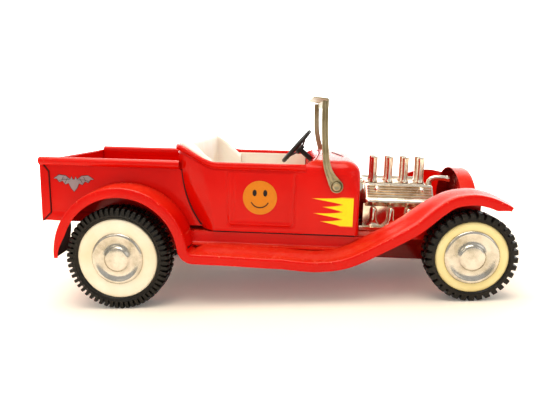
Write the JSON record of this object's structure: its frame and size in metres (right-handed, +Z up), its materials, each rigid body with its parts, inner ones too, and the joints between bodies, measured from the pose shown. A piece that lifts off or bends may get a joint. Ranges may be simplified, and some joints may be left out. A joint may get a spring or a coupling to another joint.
{
  "type": "friction toy car",
  "caption": "Pressed-steel toy hot-rod roadster pickup with friction drive, open bed, plated V8, folding windshield frame and fat rear tyres.",
  "frame": {"origin": "on the floor under the middle of the overall box", "axes": "+X forward to the nose, +Y to the car's left, +Z up"},
  "size_m": [0.3052, 0.1446, 0.1296],
  "materials": {
    "red_enamel": "gloss",
    "under_enamel": "satin",
    "cream_plastic": "satin",
    "black_plastic": "gloss",
    "dull_nickel": "dull plated",
    "plated_plastic": "bright plated",
    "bare_steel": "satin",
    "brass": "satin",
    "tyre_rubber": "satin",
    "white_wall": "satin",
    "cream_wall": "satin",
    "hubcap_metal": "bright plated"
  },
  "bodies": {
    "car_body": {"chassis_frame": "under_enamel", "floor_pan": "red_enamel", "fender_board_right": "red_enamel", "fender_board_left": "red_enamel", "bed_bearers": "under_enamel", "bed_floor": "red_enamel", "bed_side_right": "red_enamel", "bed_side_left": "red_enamel", "bed_end_panel": "red_enamel", "bed_front_wall": "red_enamel", "cab_body": "red_enamel", "firewall": "red_enamel", "dash_panel": "red_enamel", "cockpit_lining": "cream_plastic", "seat_back_roll": "cream_plastic", "seat_cushion": "cream_plastic", "steering_column": "black_plastic", "windshield_rivets": "dull_nickel", "engine_block": "plated_plastic", "bell_housing": "plated_plastic", "valve_cover_right": "plated_plastic", "valve_cover_left": "plated_plastic", "intake_manifold": "plated_plastic", "intake_stacks": "plated_plastic", "exhaust_header_right": "plated_plastic", "exhaust_header_left": "plated_plastic", "water_neck": "plated_plastic", "grille_shell": "red_enamel", "grille_insert": "plated_plastic", "motor_side_plates": "bare_steel", "motor_pillars": "brass", "body_screws": "bare_steel", "front_bushings": "brass"},
    "steering_wheel": {"steering_wheel": "black_plastic"},
    "windshield": {"windshield_frame": "dull_nickel"},
    "rear_wheels": {"rear_axle": "bare_steel", "axle_gear": "brass", "rear_wheel_right": "white_wall", "rear_wheel_left": "white_wall", "rear_tyre_right": "tyre_rubber", "rear_tyre_left": "tyre_rubber", "rear_hubcap_right": "hubcap_metal", "rear_hubcap_left": "hubcap_metal"},
    "front_wheels": {"front_axle": "bare_steel", "front_wheel_right": "cream_wall", "front_wheel_left": "cream_wall", "front_tyre_right": "tyre_rubber", "front_tyre_left": "tyre_rubber", "front_hubcap_right": "hubcap_metal", "front_hubcap_left": "hubcap_metal"},
    "idler": {"idler_gear": "brass"},
    "flywheel": {"flywheel": "bare_steel"}
  },
  "joints": [
    {"name": "rear_wheels_spin", "type": "hinge", "parent": "car_body", "child": "rear_wheels", "pos_m": [-0.09735, 0, 0.0334], "axis": [0, 1, 0], "continuous": true},
    {"name": "front_wheels_spin", "type": "hinge", "parent": "car_body", "child": "front_wheels", "pos_m": [0.12465, 0, 0.0278], "axis": [0, 1, 0], "continuous": true},
    {"name": "idler_spin", "type": "hinge", "parent": "car_body", "child": "idler", "pos_m": [-0.08339, 0, 0.0324], "axis": [0, 1, 0], "continuous": true},
    {"name": "flywheel_spin", "type": "hinge", "parent": "car_body", "child": "flywheel", "pos_m": [-0.06942, 0, 0.0314], "axis": [0, 1, 0], "continuous": true},
    {"name": "steering_wheel_turn", "type": "hinge", "parent": "car_body", "child": "steering_wheel", "pos_m": [0.01782, 0.025, 0.09452], "axis": [0.7145, 0, -0.6997], "continuous": true},
    {"name": "windshield_fold", "type": "hinge", "parent": "car_body", "child": "windshield", "pos_m": [0.04407, 0, 0.07339], "axis": [0, 1, 0], "range_deg": [-20, 70]}
  ],
  "couplings": [
    {"joint": "idler_spin", "follows": "rear_wheels_spin", "ratio": -3},
    {"joint": "flywheel_spin", "follows": "rear_wheels_spin", "ratio": 9}
  ]
}
